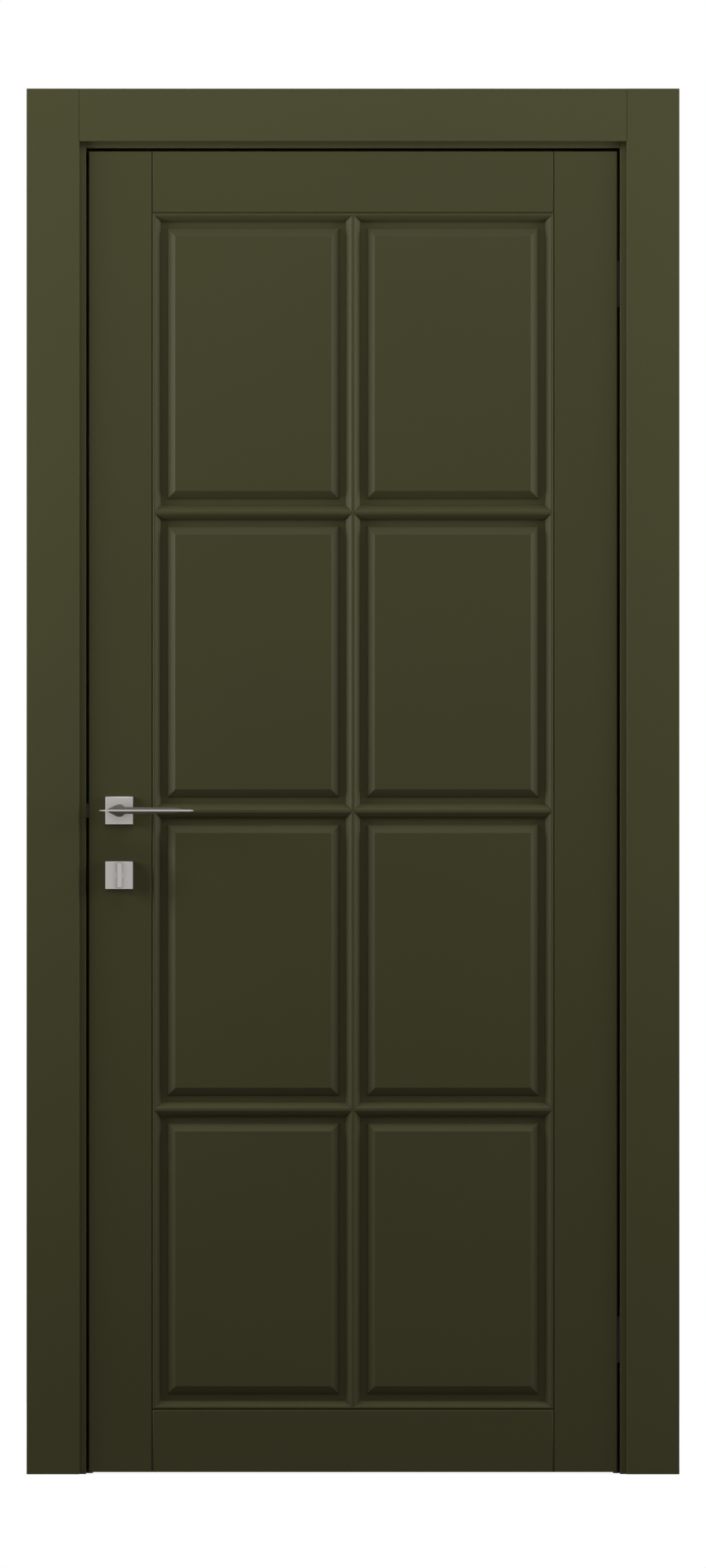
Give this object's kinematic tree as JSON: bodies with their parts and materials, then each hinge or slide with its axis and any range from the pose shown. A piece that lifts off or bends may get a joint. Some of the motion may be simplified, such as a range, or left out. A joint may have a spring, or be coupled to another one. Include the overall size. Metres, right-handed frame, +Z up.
{
  "type": "interior door",
  "caption": "Panelled interior door leaf in a rebated frame with casings, concealed hinges, lever handles, thumb turn and mortise latch lock.",
  "frame": {"origin": "on the finished floor in the middle of the wall opening, in the plane of the wall's front face, which is also the leaf's and the jambs' front plane", "axes": "+X to the right across the opening as seen from the front, towards the hinges; +Y into the wall, away from the side the leaf opens to; +Z up"},
  "size_m": [0.988, 0.168, 2.098],
  "materials": {
    "frame_paint": "matt olive enamel paint",
    "leaf_paint": "matt olive enamel paint",
    "seal_rubber": "soft dark olive seal",
    "plate_metal": "satin nickel",
    "box_plastic": "black moulded plastic",
    "zinc_steel": "zinc plated",
    "hinge_metal": "matt black coating on cast zinc",
    "latch_coating": "matt black coating on steel",
    "handle_nickel": "satin nickel",
    "bolt_metal": "satin nickel"
  },
  "bodies": {
    "frame": {"jamb_lock_side": "frame_paint", "jamb_hinge_side": "frame_paint", "head_jamb": "frame_paint", "casing_front_left": "frame_paint", "casing_front_right": "frame_paint", "casing_front_head": "frame_paint", "casing_back_left": "frame_paint", "casing_back_right": "frame_paint", "casing_back_head": "frame_paint", "seal_lock_side": "seal_rubber", "seal_hinge_side": "seal_rubber", "seal_head": "seal_rubber", "strike_plate": "plate_metal", "strike_box": "box_plastic", "frame_screws": "zinc_steel", "hinge_upper_frame_housing": "hinge_metal", "hinge_lower_frame_housing": "hinge_metal"},
    "leaf": {"stile_lock_side": "leaf_paint", "stile_hinge_side": "leaf_paint", "top_rail": "leaf_paint", "bottom_rail": "leaf_paint", "bead_top": "leaf_paint", "bead_bottom": "leaf_paint", "bead_left": "leaf_paint", "bead_right": "leaf_paint", "mullion_1": "leaf_paint", "muntin_1_1": "leaf_paint", "muntin_1_2": "leaf_paint", "muntin_1_3": "leaf_paint", "muntin_2_1": "leaf_paint", "muntin_2_2": "leaf_paint", "muntin_2_3": "leaf_paint", "panel_1_1": "leaf_paint", "panel_1_2": "leaf_paint", "panel_1_3": "leaf_paint", "panel_1_4": "leaf_paint", "panel_2_1": "leaf_paint", "panel_2_2": "leaf_paint", "panel_2_3": "leaf_paint", "panel_2_4": "leaf_paint", "lock_case": "zinc_steel", "lock_faceplate": "plate_metal", "leaf_screws": "zinc_steel", "hinge_upper_leaf_housing": "hinge_metal", "hinge_lower_leaf_housing": "hinge_metal", "lever_rose_front": "handle_nickel", "lever_rose_back": "handle_nickel", "turn_rose": "handle_nickel", "release_rose": "handle_nickel"},
    "levers": {"lever_front": "handle_nickel", "lever_back": "handle_nickel", "lever_spindle": "zinc_steel", "lock_follower": "zinc_steel"},
    "turn": {"thumb_turn": "handle_nickel", "turn_spindle": "handle_nickel", "turn_hub": "zinc_steel"},
    "latch": {"latch_bolt": "latch_coating"},
    "bolt": {"dead_bolt": "bolt_metal"},
    "hinge_links": {"hinge_upper_link": "hinge_metal", "hinge_lower_link": "hinge_metal"}
  },
  "joints": [
    {"name": "leaf_swing", "type": "hinge", "parent": "frame", "child": "leaf", "pos_m": [0.402, -0.004, 1], "axis": [0, 0, 1], "range_deg": [0, 100]},
    {"name": "hinge_link_swing", "type": "hinge", "parent": "frame", "child": "hinge_links", "pos_m": [0.402, -0.004, 1], "axis": [0, 0, 1], "range_deg": [0, 50]},
    {"name": "lever_turn", "type": "hinge", "parent": "leaf", "child": "levers", "pos_m": [-0.354, 0.02, 1.005], "axis": [0, 1, 0], "range_deg": [0, 40], "stiffness_Nm_per_rad": 1.2, "springref_deg": -28.65},
    {"name": "latch_slide", "type": "slide", "parent": "leaf", "child": "latch", "axis": [1, 0, 0], "range_m": [0, 0.011]},
    {"name": "thumb_turn_rotation", "type": "hinge", "parent": "leaf", "child": "turn", "pos_m": [-0.354, 0.02, 0.907], "axis": [0, -1, 0], "range_deg": [0, 90]},
    {"name": "bolt_slide", "type": "slide", "parent": "leaf", "child": "bolt", "axis": [-1, 0, 0], "range_m": [0, 0.015]}
  ],
  "couplings": [
    {"joint": "hinge_link_swing", "follows": "leaf_swing", "ratio": 0.5},
    {"joint": "latch_slide", "follows": "lever_turn", "m_per_rad": 0.015756},
    {"joint": "thumb_turn_rotation", "follows": "bolt_slide", "rad_per_m": 104.72}
  ]
}
